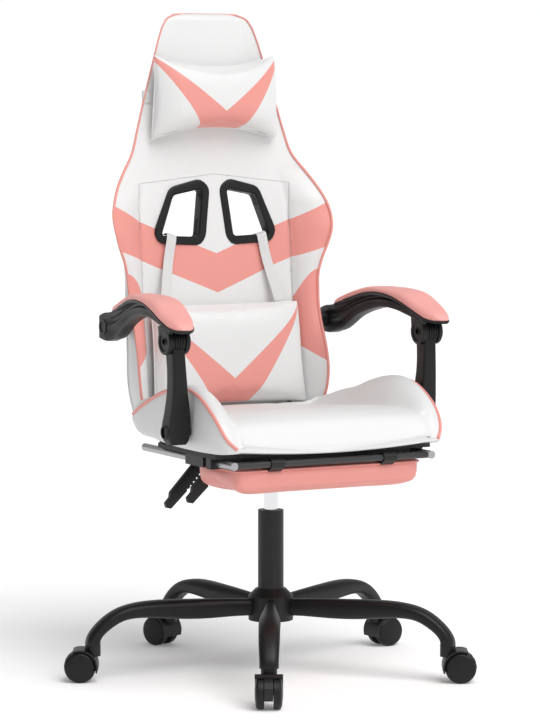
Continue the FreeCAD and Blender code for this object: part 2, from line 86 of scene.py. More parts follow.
def smooth(table, at):
    """Catmull-Rom through rows of (position, value, ...); at is an array of positions."""
    rows = np.array(table, float)
    p, v = rows[:, 0], rows[:, 1:]
    slope = np.gradient(v, p, axis=0)
    at = np.clip(np.atleast_1d(np.asarray(at, float)), p[0], p[-1])
    k = np.clip(np.searchsorted(p, at) - 1, 0, len(p) - 2)
    h = (p[k + 1] - p[k])[:, None]
    t = ((at - p[k]) / (p[k + 1] - p[k]))[:, None]
    a = 2 * t**3 - 3 * t**2 + 1
    b = t**3 - 2 * t**2 + t
    c = -2 * t**3 + 3 * t**2
    d = t**3 - t**2
    return a * v[k] + b * h * slope[k] + c * v[k + 1] + d * h * slope[k + 1]


def placed(name, data):
    obj = bpy.data.objects.new(name, data)
    bpy.context.scene.collection.objects.link(obj)
    return obj


def new_mesh(name, verts, faces):
    mesh = bpy.data.meshes.new(name)
    mesh.from_pydata([tuple(map(float, v)) for v in verts], [], [tuple(f) for f in faces])
    return mesh


def make(name, verts, faces, body, material, slot, angle=35, second=None, is_second=None):
    """New mesh piece. The faces that is_second picks by number take the second material."""
    mesh = new_mesh(name, verts, faces)
    mesh.update()
    obj = placed(name, mesh)
    dress(obj, body, material, angle)
    if second:
        mesh.materials.append(second)
        mesh.polygons.foreach_set("material_index", [int(is_second(i)) for i in range(len(faces))])
    return obj


def outward(mesh):
    bm = bmesh.new()
    bm.from_mesh(mesh)
    bmesh.ops.recalc_face_normals(bm, faces=bm.faces)
    bm.to_mesh(mesh)
    bm.free()


def soften(obj, angle=35):
    mesh = obj.data
    outward(mesh)
    mesh.polygons.foreach_set("use_smooth", [True] * len(mesh.polygons))
    mesh.set_sharp_from_angle(angle=math.radians(angle))


def dress(obj, body, material, angle=35):
    if obj.type == "MESH":
        soften(obj, angle)
    obj.data.materials.append(material)
    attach(obj, body)


def loft(rings):
    """Vertices and faces of a closed solid through rings with the same number of points."""
    n = len(rings[0])
    verts = [p for ring in rings for p in ring]
    faces = []
    for i in range(len(rings) - 1):
        for j in range(n):
            k = (j + 1) % n
            faces.append((i * n + j, i * n + k, (i + 1) * n + k, (i + 1) * n + j))
    faces.append(tuple(range(n - 1, -1, -1)))
    faces.append(tuple((len(rings) - 1) * n + j for j in range(n)))
    return verts, faces


def applied(obj):
    """Applies every modifier on a mesh object."""
    deps = bpy.context.evaluated_depsgraph_get()
    mesh = bpy.data.meshes.new_from_object(obj.evaluated_get(deps))
    old = obj.data
    obj.modifiers.clear()
    obj.data = mesh
    mesh.name = old.name
    return obj


def carve(obj, verts, faces):
    """Cuts a closed shape out of a piece."""
    mesh = new_mesh("cutter", verts, faces)
    outward(mesh)
    cutter = placed("cutter", mesh)
    cut = obj.modifiers.new("cut", "BOOLEAN")
    cut.operation = "DIFFERENCE"
    cut.solver = "EXACT"
    cut.object = cutter
    applied(obj)
    bpy.data.objects.remove(cutter)


def mirrored(points, sign):
    return [(sign * p[0], p[1], p[2]) for p in points]


def joined(parts):
    """One list of vertices and one of faces out of several solids."""
    verts, faces = [], []
    for v, f in parts:
        base = len(verts)
        verts += list(v)
        faces += [tuple(i + base for i in face) for face in f]
    return verts, faces


def lathe(profile, centre, sign, sides=48):
    """Turned piece about an axis along X: profile holds (x, radius)."""
    rings = []
    for x, r in profile:
        rings.append([(sign * x, centre[0] + r * math.cos(a), centre[1] + r * math.sin(a))
                      for a in around(sides)])
    return loft(rings)


def cord_line(name, points, radius, body, material, cyclic=False, shape=None):
    """Round bead along a smooth curve, for pipings and seams. shape gives its thickness at a point,
    as a share of radius."""
    curve = bpy.data.curves.new(name, "CURVE")
    curve.dimensions = "3D"
    curve.bevel_depth = radius
    curve.bevel_resolution = 3
    curve.resolution_u = 3
    spline = curve.splines.new("NURBS")
    spline.points.add(len(points) - 1)
    for p, q in zip(spline.points, points):
        p.co = (*map(float, q), 1.0)
        p.radius = shape(q) if shape else 1.0
    spline.order_u = 3
    spline.use_cyclic_u = cyclic
    spline.use_endpoint_u = not cyclic
    curve.use_fill_caps = True
    obj = placed(name, curve)
    dress(obj, body, material)
    return obj


def puff(obj, cap, voxel=0.006, pressure=4.0, steps=20, grip=None):
    """Inflates a closed soft mesh with a short cloth run, keeps each point within cap of its start."""
    rem = obj.modifiers.new("remesh", "REMESH")
    rem.mode = "VOXEL"
    rem.voxel_size = voxel
    rem.use_smooth_shade = True
    applied(obj)
    start = np.empty(len(obj.data.vertices) * 3)
    obj.data.vertices.foreach_get("co", start)
    start = start.reshape(-1, 3)
    if grip is not None:
        group = obj.vertex_groups.new(name="grip")
        held = [i for i, p in enumerate(start) if grip(p)]
        group.add(held, 1.0, "ADD")
    cloth = obj.modifiers.new("cloth", "CLOTH")
    cfg = cloth.settings
    cfg.use_pressure = True
    cfg.uniform_pressure_force = pressure
    cfg.effector_weights.gravity = 0.0
    cfg.quality = 5
    cfg.mass = 0.3
    cfg.tension_stiffness = 25
    cfg.compression_stiffness = 25
    cfg.shear_stiffness = 12
    cfg.bending_stiffness = 0.6
    if grip is not None:
        cfg.vertex_group_mass = "grip"
    cloth.collision_settings.use_collision = False
    cloth.point_cache.frame_start = 1
    cloth.point_cache.frame_end = steps
    scene = bpy.context.scene
    for f in range(1, steps + 1):
        scene.frame_set(f)
    applied(obj)
    scene.frame_set(1)
    end = np.empty(len(start) * 3)
    obj.data.vertices.foreach_get("co", end)
    end = end.reshape(-1, 3)
    move = end - start
    size = np.linalg.norm(move, axis=1, keepdims=True)
    move *= np.minimum(1.0, cap / np.maximum(size, 1e-9))
    obj.data.vertices.foreach_set("co", (start + move).ravel())
    obj.data.update()
    sub = obj.modifiers.new("smooth", "SUBSURF")
    sub.levels = 1
    applied(obj)
    soften(obj, 60)


# ---- node expressions ----------------------------------------------------------------------------
class Num:
    """A value in a material's node tree that can be used in plain arithmetic."""

    def __init__(self, tree, out):
        self.tree = tree
        self.out = out

    def _do(self, op, *others, clamp=False):
        node = self.tree.nodes.new("ShaderNodeMath")
        node.operation = op
        node.use_clamp = clamp
        for socket, value in zip(node.inputs, (self,) + others):
            if isinstance(value, Num):
                self.tree.links.new(value.out, socket)
            else:
                socket.default_value = value
        return Num(self.tree, node.outputs[0])

    def __add__(self, o):
        return self._do("ADD", o)

    def __sub__(self, o):
        return self._do("SUBTRACT", o)

    def __rsub__(self, o):
        return (self * -1.0) + o

    def __mul__(self, o):
        return self._do("MULTIPLY", o)

    __radd__ = __add__
    __rmul__ = __mul__

    def abs(self):
        return self._do("ABSOLUTE")

    def min(self, o):
        return self._do("MINIMUM", o)

    def max(self, o):
        return self._do("MAXIMUM", o)

    def sin(self):
        return self._do("SINE")

    def pos(self, soft=0.0006):
        """1 where the value is above 0, 0 below, over a narrow soft edge."""
        return (self * (1.0 / soft) + 0.5)._do("ADD", 0.0, clamp=True)

    def bump(self, width):
        """A ridge of height 1 where the value is 0."""
        return (1.0 - self.abs() * (1.0 / width)).max(0.0)


class Shader:
    """One material: a Principled shader with helpers for its inputs."""

    def __init__(self, name):
        self.mat = bpy.data.materials.new(name)
        self.mat.use_nodes = True
        self.tree = self.mat.node_tree
        self.bsdf = self.tree.nodes["Principled BSDF"]
        coords = self.tree.nodes.new("ShaderNodeTexCoord")
        self.point = coords.outputs["Object"]
        split = self.tree.nodes.new("ShaderNodeSeparateXYZ")
        self.tree.links.new(self.point, split.inputs[0])
        self.x, self.y, self.z = (Num(self.tree, o) for o in split.outputs)

    def set(self, **values):
        for key, value in values.items():
            self.bsdf.inputs[key.replace("_", " ")].default_value = value
        return self

    def noise(self, scale, detail=2.0, rough=0.5, stretch=None):
        node = self.tree.nodes.new("ShaderNodeTexNoise")
        node.inputs["Scale"].default_value = scale
        node.inputs["Detail"].default_value = detail
        node.inputs["Roughness"].default_value = rough
        self.tree.links.new(self.stretched(stretch), node.inputs["Vector"])
        return Num(self.tree, node.outputs["Fac"])

    def cells(self, scale, stretch=None):
        node = self.tree.nodes.new("ShaderNodeTexVoronoi")
        node.feature = "F1"
        node.inputs["Scale"].default_value = scale
        self.tree.links.new(self.stretched(stretch), node.inputs["Vector"])
        return Num(self.tree, node.outputs["Distance"])

    def stretched(self, factors):
        if factors is None:
            return self.point
        node = self.tree.nodes.new("ShaderNodeMapping")
        node.inputs["Scale"].default_value = factors
        self.tree.links.new(self.point, node.inputs["Vector"])
        return node.outputs[0]

    def blend(self, factor, a, b):
        node = self.tree.nodes.new("ShaderNodeMix")
        node.data_type = "RGBA"
        self.tree.links.new(factor.out, node.inputs["Factor"])
        for socket, value in ((node.inputs[6], a), (node.inputs[7], b)):
            if isinstance(value, tuple):
                socket.default_value = (*value, 1.0)
            else:
                self.tree.links.new(value, socket)
        return node.outputs[2]

    def colour(self, out):
        self.tree.links.new(out, self.bsdf.inputs["Base Color"])

    def roughness(self, value):
        self.tree.links.new(value.out, self.bsdf.inputs["Roughness"])

    def height(self, value, distance):
        node = self.tree.nodes.new("ShaderNodeBump")
        node.inputs["Distance"].default_value = distance
        node.inputs["Strength"].default_value = 1.0
        self.tree.links.new(value.out, node.inputs["Height"])
        self.tree.links.new(node.outputs[0], self.bsdf.inputs["Normal"])


def vinyl(name, base, pattern=None, second=PINK, seams=None, rough=0.42):
    """Leather-grained vinyl. pattern gives the mask of the second colour, seams the signed distances to
    sewn lines together with a position along each for its stitches; along each seam the colour is darkened as
    painted shade in its groove."""
    s = Shader(name)
    s.set(Specular_IOR_Level=0.45, Sheen_Weight=0.08, Sheen_Roughness=0.4)
    broad = s.noise(9.0, 3.0)
    shade = s.blend(broad, tuple(c * 0.975 for c in base), base)
    if pattern:
        mask = pattern(s)
        tint = s.blend(broad, tuple(c * 0.95 for c in second), second)
        shade = s.blend(mask, shade, tint)
    grain = s.cells(620.0) * 0.55 + s.noise(1500.0, 2.0) * 0.3
    relief = grain * 0.10 + s.noise(42.0, 3.0) * 0.35
    if seams:
        seam_painted_shade = None
        for line, along in seams(s):
            cut = line.bump(0.0022)
            thread = (line.abs() - 0.0045).bump(0.0006) * ((along * 1500.0).sin() + 0.25).pos(0.5)
            seam_painted_shade = cut if seam_painted_shade is None else seam_painted_shade.max(cut)
            relief = relief - cut * 1.6 + thread * 0.35
        # Painted shade: the colour is darkened along each seam line, standing in for shade falling into the
        # sewn groove.
        shade = s.blend(seam_painted_shade * 0.30, shade, tuple(c * 0.62 for c in base))
    s.colour(shade)
    s.roughness(grain * 0.10 + (rough - 0.05))
    s.height(relief, 0.0009)
    return s.mat


def plastic(name, base, rough=0.42, grain=900.0):
    s = Shader(name)
    s.set(Specular_IOR_Level=0.30)
    speck = s.noise(grain, 2.0)
    broad = s.noise(14.0, 3.0)
    worn = Num(s.tree, s.tree.nodes.new("ShaderNodeNewGeometry").outputs["Pointiness"])
    edge = ((worn - 0.53) * 9.0).max(0.0).min(1.0)
    body = s.blend(broad, tuple(c * 0.8 for c in base), tuple(c * 1.15 for c in base))
    s.colour(s.blend(edge * 0.5, body, tuple(min(1.0, c * 2.6 + 0.010) for c in base)))
    s.roughness(speck * 0.14 + broad * 0.06 + (rough - 0.10))
    s.height(speck, 0.00008)
    return s.mat


def metal(name, base, rough, metallic=1.0, brush=(1.0, 60.0, 1.0)):
    s = Shader(name)
    s.set(Metallic=metallic, Specular_IOR_Level=0.35)
    lines = s.noise(220.0, 3.0, 0.6, brush)
    broad = s.noise(11.0, 2.0)
    s.colour(s.blend(broad, tuple(c * 0.9 for c in base), base))
    s.roughness(lines * 0.12 + broad * 0.05 + (rough - 0.07))
    s.height(lines, 0.00003)
    return s.mat


def wood(name, base):
    s = Shader(name)
    rings = s.noise(30.0, 4.0, 0.6, (14.0, 1.0, 14.0))
    s.colour(s.blend(rings, tuple(c * 0.55 for c in base), base))
    s.roughness(rings * 0.2 + 0.55)
    s.height(rings, 0.0003)
    return s.mat


# ---- the back's own face -------------------------------------------------------------------------
# The back leans: its face is drawn upright with its front surface at y 0, then leant about its foot.
LEAN = math.radians(4.4)
FOOT = Vector((0, low("back_cushion")[1], 0.515))
TO_FOOT = Matrix.Translation(Vector((0, 0, -FOOT.z)))
LEANT = Matrix.Translation(FOOT) @ Matrix.Rotation(-LEAN, 4, "X") @ TO_FOOT


def leant(x, y, z):
    return LEANT @ Vector((float(x), float(y), float(z)))


# height up the face: half width, front edge, rear edge (metres)
BACK = (
    (0.490, 0.195, -0.052, -0.006), (0.506, 0.200, -0.060, -0.008),
    (0.530, 0.206, -0.066, -0.010), (0.560, 0.2095, -0.069, -0.011),
    (0.620, 0.209, -0.062, -0.012), (0.660, 0.2075, -0.050, -0.010), (0.700, 0.208, -0.040, -0.008),
    (0.730, 0.210, -0.037, -0.008), (0.760, 0.212, -0.036, -0.010), (0.790, 0.219, -0.041, -0.016),
    (0.820, 0.231, -0.046, -0.028), (0.850, 0.2395, -0.050, -0.032), (0.880, 0.2415, -0.044, -0.026),
    (0.910, 0.234, -0.036, -0.018), (0.940, 0.220, -0.024, -0.006), (0.970, 0.201, -0.013, 0.004),
    (1.000, 0.180, -0.004, 0.010), (1.050, 0.163, 0.000, 0.014), (1.100, 0.149, 0.000, 0.016),
    (1.150, 0.134, 0.000, 0.018), (1.200, 0.119, -0.001, 0.018), (1.240, 0.106, -0.001, 0.018),
    (1.262, 0.096, 0.000, 0.019), (1.276, 0.083, 0.003, 0.020), (1.283, 0.066, 0.008, 0.020),
)
BACK_REAR = 0.032   # how far behind the face the middle of the rear lies


def rear_inset(z):
    """How much narrower the back is at its rear edge than at its piping."""
    return float(np.interp(z, [0.66, 0.80], [0.003, 0.012]))


def seam_x(z):
    """Where the seam between the middle panel and the side wing runs."""
    return np.interp(z, [0.5, 0.72, 0.90, 1.05, 1.20, 1.28], [0.166, 0.167, 0.166, 0.128, 0.086, 0.070])


def front_y(x, z, half, edge):
    a = np.abs(x)
    inner = min(0.13, half * 0.72)
    wing = np.clip((a - inner) / (half - inner), 0, 1) ** 1.6 * edge
    seam = float(seam_x(z))
    panel = float(np.clip((0.97 - z) / 0.06, 0, 1))
    crown = -0.006 * np.cos(np.clip(a / seam, 0, 1) * math.pi / 2)
    t = np.clip((a - seam) / max(half - seam, 0.01), 0, 1)
    swell = -0.009 * panel * np.sin(t * math.pi)
    channel = 0.004 * panel * np.exp(-((a - seam) / 0.0045) ** 2)
    return wing + crown + swell + channel


def rear_y(x, half, edge):
    return mix(BACK_REAR, edge, np.clip(np.abs(x) / half, 0, 1) ** 2.4)


FRONT_POINTS, REAR_POINTS, SIDE_POINTS = 85, 41, 5


def back_ring(z, half, edge, rear, squeeze):
    s = np.linspace(-1, 1, FRONT_POINTS)
    s = np.sign(s) * np.abs(s) ** 0.92
    front = front_y(s * half, z, half, edge)
    narrow = half - rear_inset(z)
    r = np.linspace(1, -1, REAR_POINTS)
    behind = rear_y(r * narrow, narrow, rear)
    middle = mix(edge, rear, 0.5)
    front = middle + (front - middle) * squeeze
    behind = middle + (behind - middle) * squeeze
    side = np.linspace(0, 1, SIDE_POINTS + 2)[1:-1]
    bulge = 0.003 * np.sin(side * math.pi)
    ring = [(x, y) for x, y in zip(s * half, front)]
    ring += [(mix(half, narrow, t) + p, mix(front[-1], behind[0], t)) for t, p in zip(side, bulge)]
    ring += [(x, y) for x, y in zip(r * narrow, behind)]
    ring += [(-mix(narrow, half, t) - p, mix(behind[-1], front[0], t)) for t, p in zip(side, bulge)]
    return [leant(x, y, z) for x, y in ring]


def back_rings():
    levels = np.concatenate([np.linspace(0.492, 1.26, 153), np.linspace(1.264, 1.2845, 9)])
    rings = []
    for z in levels:
        half, edge, rear = smooth(BACK, z)[0]
        top = max(0.0, (z - 1.268) / 0.018)
        foot = max(0.0, (0.500 - z) / 0.010)
        squeeze = math.sqrt(max(0.05, 1 - top**2)) * math.sqrt(max(0.2, 1 - foot**2))
        rings.append(back_ring(z, half, edge, rear, squeeze))
    return rings


def chevron_top(s, a):
    return (a * 0.388 + 0.806).max(a * 0.49 + 0.7887)


def chevron_foot(s, a):
    return (a * 0.40 + 0.728).min(a * 0.34 + 0.7382)


def side_patch(s, a):
    """Signed measure of the curved side patch at the waist: above 0 inside."""
    inner = a - 0.1675
    roof = 0.716 + (a - 0.168) * 2.4 - (a - 0.168) * (a - 0.168) * 26.0 - s.z
    foot = s.z - (0.618 - (a - 0.172) * 0.95 + (a - 0.172) * (a - 0.172) * 5.0)
    return inner.min(roof).min(foot)


def back_pattern(s):
    a = s.x.abs()
    band = (chevron_top(s, a) - s.z).min(s.z - chevron_foot(s, a))
    return band.max(side_patch(s, a)).pos()


def back_seams(s):
    a = s.x.abs()
    side = (a - 0.1665) + (s.z - 0.945).max(0.0) * 9.0
    return [(side, s.z)]


white_back = vinyl("white_vinyl_back", WHITE, back_pattern, PINK, back_seams)
white = vinyl("white_vinyl", WHITE)
white_seat = vinyl("white_vinyl_seat", WHITE)
pink = vinyl("pink_vinyl", PINK)
pink_pad = vinyl("pink_pad_vinyl", PINK_PAD, rough=0.5)
black = plastic("black_moulded_plastic", BLACK)
black_steel = metal("black_powder_coat", (0.014, 0.014, 0.015), 0.40, 0.0)
steel = metal("bright_steel", (0.55, 0.55, 0.57), 0.30)
rod_grey = metal("grey_steel_tube", (0.15, 0.15, 0.155), 0.36, 0.85)
chrome = metal("chrome", (0.80, 0.80, 0.82), 0.09)
plywood = wood("plywood", (0.62, 0.44, 0.26))
black_board = wood("black_stained_plywood", (0.035, 0.033, 0.032))

verts, faces = loft(back_rings())
RING_POINTS = FRONT_POINTS + REAR_POINTS + 2 * SIDE_POINTS
back = make("back_upholstery", verts, faces, "back", white_back, "white_vinyl", 60,
            white, lambda i: i % RING_POINTS >= FRONT_POINTS - 1)
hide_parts("back_cushion", "back_shell", "back_bolster_left", "back_bolster_right")


def back_edge(which, inset, offset):
    """Points along the back's outline from one foot over the head to the other."""
    levels = np.concatenate([np.linspace(0.497, 1.24, 60), np.linspace(1.25, 1.2835, 12)])
    side = []
    for z in levels:
        half, edge, rear = smooth(BACK, z)[0]
        y = edge if which == "front" else rear
        tuck = 0.0 if which == "front" else rear_inset(z)
        side.append((half - inset - tuck, y + offset, z))
    return [leant(*p) for p in side] + [leant(-p[0], p[1], p[2]) for p in reversed(side)]


cord_line("back_piping_front", back_edge("front", -0.0005, -0.001), 0.0027, "back", pink,
          shape=lambda q: float(np.interp(q[2], [0.95, 1.15], [1.0, 0.62])))
cord_line("back_piping_rear", back_edge("rear", 0.0, 0.001), 0.0022, "back", white)


# ---- harness bezels ------------------------------------------------------------------------------
# outlines of a harness slot and of its bezel on the face of the back: across, up
SLOT = ((0.028, 0.935), (0.091, 0.923), (0.120, 0.8435), (0.040, 0.840))
RING = ((0.010, 0.938), (0.031, 0.956), (0.099, 0.939), (0.137, 0.849), (0.124, 0.827), (0.036, 0.8225),
        (0.0225, 0.838))
STEP = 0.016   # depth at which the slot widens towards the rear
CUT_DEPTH = 0.12


def round_corners(points, radius):
    """Closed outline with each corner replaced by a short curve."""
    steps = 5
    out = []
    n = len(points)
    for i in range(n):
        p = Vector(points[i])
        a = Vector(points[i - 1]) - p
        b = Vector(points[(i + 1) % n]) - p
        r = min(radius, a.length * 0.45, b.length * 0.45)
        start, end = p + a.normalized() * r, p + b.normalized() * r
        for k in range(steps + 1):
            t = k / steps
            out.append(start * (1 - t) ** 2 + p * 2 * t * (1 - t) + end * t**2)
    return out


def grown(points, d):
    """Convex outline moved out by d."""
    n = len(points)
    centre = sum((Vector(p) for p in points), Vector((0, 0))) / n
    out = []
    for i in range(n):
        p, a, b = Vector(points[i]), Vector(points[i - 1]), Vector(points[(i + 1) % n])
        na = Vector(((p - a).y, -(p - a).x)).normalized()
        nb = Vector(((b - p).y, -(b - p).x)).normalized()
        if na.dot(p - centre) < 0:
            na, nb = -na, -nb
        out.append(p + (na + nb) / (1 + na.dot(nb)) * d)
    return [tuple(q) for q in out]


def frame_solid(outer, inner, y0, y1, rim):
    """Ring between two outlines from y0 to y1, its edges rounded by rim, as vertices and faces."""
    count = 48

    def even(points):
        pts = [Vector(p) for p in points]
        lengths = [(pts[(i + 1) % len(pts)] - pts[i]).length for i in range(len(pts))]
        total = sum(lengths)
        out, i, done = [], 0, 0.0
        for k in range(count):
            want = total * k / count
            while done + lengths[i] < want:
                done += lengths[i]
                i += 1
            t = (want - done) / lengths[i]
            out.append(pts[i].lerp(pts[(i + 1) % len(pts)], t))
        start = min(range(count), key=lambda q: (out[q] - Vector((0.16, 0.80))).length)
        return out[start:] + out[:start]

    o, q = even(outer), even(inner)
    profile = [(0, y1), (0, y0 + rim), (rim * 0.3, y0 + rim * 0.3), (rim, y0), (1 - rim, y0),
               (1, y0 + rim), (1, y1)]
    rings = []
    for t, y in profile:
        if t in (0, 1):
            ring = o if t == 0 else q
        elif t < 0.5:
            ring = [a + (b - a).normalized() * t for a, b in zip(o, q)]
        else:
            ring = [b + (a - b).normalized() * (1 - t) for a, b in zip(o, q)]
        rings.append([leant(p.x, y, p.y) for p in ring])
    verts = [p for ring in rings for p in ring]
    faces = []
    m = len(rings)
    for i in range(m):
        for j in range(count):
            k = (j + 1) % count
            n = (i + 1) % m
            faces.append((i * count + j, i * count + k, n * count + k, n * count + j))
    return verts, faces


def bezel(side):
    sign = 1 if side == "left" else -1
    hole = round_corners(SLOT, 0.006)
    wide = round_corners(grown(SLOT, 0.0055), 0.009)
    mouth = round_corners(grown(SLOT, 0.0100), 0.012)
    lip = round_corners(grown(SLOT, 0.0155), 0.015)
    parts = (
        frame_solid(round_corners(RING, 0.012), hole, -0.0085, 0.002, 0.003),
        frame_solid(wide, hole, -0.002, STEP + 0.002, 0.001),
        frame_solid(lip, hole, STEP, STEP + 0.002, 0.0005),
        frame_solid(lip, mouth, STEP + 0.001, BACK_REAR + 0.002, 0.001),
    )
    verts, faces = joined(parts)
    obj = make("harness_bezel_" + side, mirrored(verts, sign), faces, "back", black, "black_plastic", 40)
    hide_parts("bezel_" + side)


def cut_slots():
    """Opens the two harness holes through the upholstery, wider behind the step."""
    for spread, start in ((0.0045, -0.05), (0.0145, STEP)):
        outline = round_corners(grown(SLOT, spread), spread * 2)
        for sign in (1, -1):
            carve(back, *loft([[leant(sign * p.x, y, p.y) for p in outline] for y in (start, CUT_DEPTH)]))
    soften(back, 60)


cut_slots()
bezel("left")
bezel("right")


# ---- recline brackets ----------------------------------------------------------------------------
RECLINE_Y = 0.214
EYE_RADIUS = 0.015


def recline_brackets():
    """Pressed steel side plates: an eye on the pivot and a tongue that runs up inside the upholstery."""
    x0, x1 = 0.1533, high("back_hinge_plates")[0]
    pivot = Vector((0.0, RECLINE_Y, low("back_hinge_plates")[2] + EYE_RADIUS))
    outline = []
    for a in np.linspace(math.pi, 2 * math.pi, 17):
        outline.append((pivot.y + EYE_RADIUS * math.cos(a), pivot.z + EYE_RADIUS * math.sin(a)))
    outline += [(pivot.y + 0.028, 0.560), (pivot.y + 0.030, 0.600)]
    outline += [(pivot.y + 0.014, 0.600), (pivot.y + 0.006, 0.560)]
    parts = []
    for sign in (1, -1):
        parts.append(loft([[(sign * x, y, z) for y, z in outline] for x in (x0, x1)]))
        stud = [(x1 - 0.001, 0.0005), (x1 - 0.001, 0.0095), (x1 + 0.0035, 0.0095), (x1 + 0.0045, 0.0085),
                (x1 + 0.0045, 0.0005)]
        parts.append(lathe(stud, (pivot.y, pivot.z), sign, 6))
    obj = make("recline_brackets", *joined(parts), "back", black_steel, "black_steel", 30)
    bevel = obj.modifiers.new("bevel", "BEVEL")
    bevel.width = 0.0007
    bevel.segments = 2
    bevel.limit_method = "ANGLE"
    applied(obj)
    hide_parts("back_hinge_plates")


# ---- seat ----------------------------------------------------------------------------------------
# along y: underside at the side, piping, crest, middle of the seat, half width at the piping
SEAT = (
    (-0.272, 0.465, 0.472, 0.473, 0.476, 0.213), (-0.262, 0.463, 0.483, 0.485, 0.489, 0.224),
    (-0.245, 0.461, 0.505, 0.509, 0.508, 0.232), (-0.225, 0.4595, 0.525, 0.530, 0.520, 0.235),
    (-0.195, 0.4585, 0.545, 0.552, 0.527, 0.236), (-0.160, 0.4575, 0.562, 0.570, 0.528, 0.236),
    (-0.125, 0.4575, 0.570, 0.578, 0.525, 0.236), (-0.080, 0.4575, 0.569, 0.577, 0.521, 0.235),
    (-0.020, 0.459, 0.561, 0.566, 0.517, 0.235), (0.043, 0.465, 0.541, 0.547, 0.512, 0.235),
    (0.109, 0.472, 0.514, 0.533, 0.508, 0.234), (0.136, 0.486, 0.503, 0.524, 0.506, 0.230),
)
# along y: where the middle of the seat meets the foot of the wing
CREASE = ((-0.272, 0.200), (-0.235, 0.200), (-0.190, 0.186), (-0.140, 0.170), (-0.080, 0.163), (0.136, 0.160))


def seat_ring(y):
    under, pipe, crest, mid, half = smooth(SEAT, y)[0]
    crease = float(np.interp(y, *zip(*CREASE)))
    top = half - 0.012
    wing = crest - mid
    depth = 0.006 * clamp((y + 0.25) / 0.06)
    ring = []
    for u in np.linspace(-1, 1, 91):
        a = abs(u) * top
        if a < crease:
            z = mid + depth * (0.75 * math.cos(a / crease * math.pi / 2) - 0.6 * (a / crease) ** 10)
        else:
            t = (a - crease) / (top - crease)
            z = mid - depth * 0.6 + (wing + depth * 0.6) * math.sin(t * math.pi / 2) ** 0.95
        ring.append((u * top, z))
    right = [(half - 0.0075, mix(crest, pipe, 0.16)), (half - 0.0035, mix(crest, pipe, 0.45))]
    right += [(half - 0.001, mix(crest, pipe, 0.78)), (half, pipe)]
    right += [(half + 0.002 * math.sin(t * math.pi), mix(pipe, under, t)) for t in np.linspace(0.12, 0.94, 9)]
    right += [(half - 0.001, under + 0.003), (half - 0.004, under)]
    ring += right
    ring += [(x, under) for x in np.linspace(half - 0.02, -half + 0.02, 25)]
    ring += [(-x, z) for x, z in reversed(right)]
    return ring


def seat_rings():
    """Front roll, wings and the tail that runs back between the sides of the backrest."""
    tail_half, tail_end = 0.150, high("seat_board")[1] + 0.062
    nose = np.array([-0.2715, -0.2700, -0.267, -0.262, -0.256, -0.249])
    levels = np.concatenate([nose, np.linspace(-0.242, 0.136, 80)])
    rings = [[(x, y, z) for x, z in seat_ring(y)] for y in levels]
    last = rings[-1]
    for y, squeeze in ((0.1385, 0.985), (0.141, 0.94), (0.1425, 0.85)):
        rings.append([(x * squeeze, y, min(z, mix(0.524, 0.507, (1 - squeeze) * 6))) for x, _, z in last])
    wide = max(p[0] for p in last)
    for y in np.linspace(0.144, tail_end, 8):
        k = (tail_half + 0.006) / wide
        fall = max(0.0, y - tail_end + 0.014) * 0.5
        rings.append([(x * k, y, min(z, 0.507 - fall)) for x, _, z in last])
    return rings


def bowed(verts):
    """Draws the front in behind the nose of the cushion, tucks it beside the wings and lets its foot sag."""
    roll, nose, front = -0.235, 0.197, low("seat_cushion")[1]
    out = []
    for x, y, z in verts:
        pull = max(0.0, roll - y) * max(0.0, 1 - (abs(x) / 0.225) ** 8)
        tuck = 0.006 * math.exp(-(((abs(x) - 0.204) / 0.006) ** 2)) if y < roll else 0.0
        foot = clamp((-y - 0.225) / 0.025) * clamp((0.500 - z) / 0.030)
        z -= 0.0085 * foot * max(0.0, 1 - (abs(x) / 0.19) ** 2)
        out.append((x, max(y + pull * 0.30, front - 0.003) if abs(x) < nose else y + tuck, z))
    return out


verts, faces = loft(seat_rings())
seat = make("seat_upholstery", bowed(verts), faces, "seat", white_seat, "white_vinyl", 70)
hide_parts("seat_cushion", "seat_bolster_left", "seat_bolster_right")

levels = np.linspace(-0.272, 0.134, 48)
ridge = [(float(r[4]) + 0.0008, float(y), float(r[1])) for y, r in zip(levels, smooth(SEAT, levels))]
for name, sign in (("left", 1), ("right", -1)):
    cord_line("seat_piping_" + name, mirrored(ridge, sign), 0.0032, "seat", pink)

for name, sign in (("left", 1), ("right", -1)):
    points = []
    for y in np.linspace(0.010, 0.130, 20):
        crease = float(np.interp(y, *zip(*CREASE)))
        points.append((sign * crease, y, smooth(SEAT, y)[0][3] - 0.0030))
    cord_line("seat_crease_piping_" + name, points, 0.0014, "seat", pink)


# ---- loose cushions and straps -------------------------------------------------------------------
def cushion(name, half, z0, z1, depth, seam, box, pinch, sag, flare, shift, material, cap):
    """Closed cushion lying on the face of the back. seam holds how far its sewn edge stands off the back
    at its foot and top, box sets how square it is, pinch and sag how far its sides and long edges pull in,
    flare how much wider it is at its foot, shift how far it lies to one side."""
    mid_z, tall = (z0 + z1) / 2, (z1 - z0) / 2
    edge = 0.003
    rows = []
    for v in np.sin(np.linspace(-1, 1, 41) * math.pi / 2):
        across = np.sin(np.linspace(-1, 1, 61) * math.pi / 2)
        front, rear = [], []
        for u in across:
            x = shift + u * half * (1 - pinch * (1 - v * v) - flare * v)
            z = mid_z + v * tall * (1 - sag * (1 - u * u))
            swell = max(0.0, 1 - abs(u) ** box) ** 0.6 * max(0.0, 1 - abs(v) ** box) ** 0.6
            y = -mix(seam[0], seam[1], (v + 1) / 2)
            front.append(leant(x, y - edge - (depth + y - edge) * swell, z))
            rear.append(leant(x, y + edge - (y + edge + 0.007) * swell, z))
        rows.append(front + rear[::-1])
    verts, faces = loft(rows)
    n = len(rows[0])
    faces = faces[:-2]
    for base in (0, (len(rows) - 1) * n):
        faces += [(base + j, base + j + 1, base + n - 2 - j, base + n - 1 - j) for j in range(n // 2 - 1)]
    obj = make(name, verts, faces, "back", material, "white_vinyl", 60)
    puff(obj, cap, voxel=0.005)
    return obj


